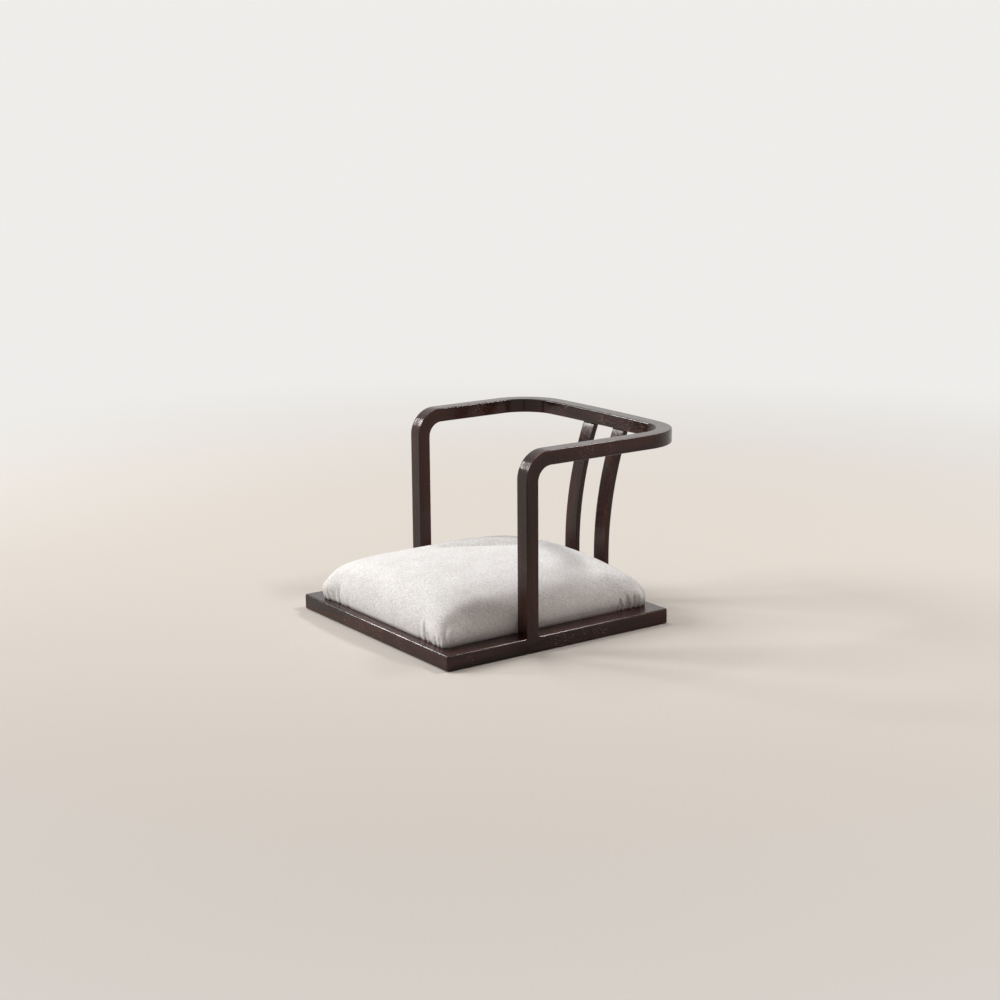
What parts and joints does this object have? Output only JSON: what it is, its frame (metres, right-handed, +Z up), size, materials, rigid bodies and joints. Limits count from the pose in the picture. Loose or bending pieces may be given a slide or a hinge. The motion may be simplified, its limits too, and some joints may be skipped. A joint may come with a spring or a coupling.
{
  "type": "legless floor chair",
  "caption": "Legless floor chair: dark wooden base, bent arm posts running into a horseshoe back rail, curved slats and a thick lift-off linen cushion.",
  "frame": {"origin": "on the floor, under the middle of the chair's overall footprint", "axes": "+Z up, -Y the way the sitter faces, +X to the sitter's left"},
  "size_m": [0.48, 0.5394, 0.3525],
  "materials": {
    "dark_wood": "satin lacquer, open grain",
    "panel_plywood": "stained plywood",
    "cushion_plywood": "bare plywood",
    "beech": "bare",
    "linen": "woven melange",
    "foam": "open-cell foam",
    "dust_cloth": "thin non-woven cloth",
    "hook_tape": "hook tape",
    "loop_tape": "loop tape",
    "felt": "pressed felt",
    "zinc_steel": "zinc plated",
    "brass": "turned"
  },
  "bodies": {
    "frame": {"base_front_rail": "dark_wood", "base_left_rail": "dark_wood", "base_back_rail": "dark_wood", "base_right_rail": "dark_wood", "left_arm": "dark_wood", "right_arm": "dark_wood", "back_rail": "dark_wood", "left_back_slat": "dark_wood", "right_back_slat": "dark_wood", "slat_plugs": "dark_wood", "seat_panel": "panel_plywood", "mitre_dowels": "beech", "arm_dowels": "beech", "floor_pads": "felt", "panel_screws": "zinc_steel", "slat_screws": "zinc_steel", "post_bolts": "zinc_steel", "post_washers": "zinc_steel", "post_inserts": "brass", "hook_patches": "hook_tape"},
    "cushion": {"cushion_cover": "linen", "cushion_foam": "foam", "cushion_board": "cushion_plywood", "cover_staples": "zinc_steel", "dust_cloth": "dust_cloth", "loop_patches": "loop_tape"}
  },
  "joints": [
    {"name": "cushion_lift", "type": "slide", "parent": "frame", "child": "cushion", "axis": [0, 0, 1], "range_m": [0, 0.345]}
  ]
}
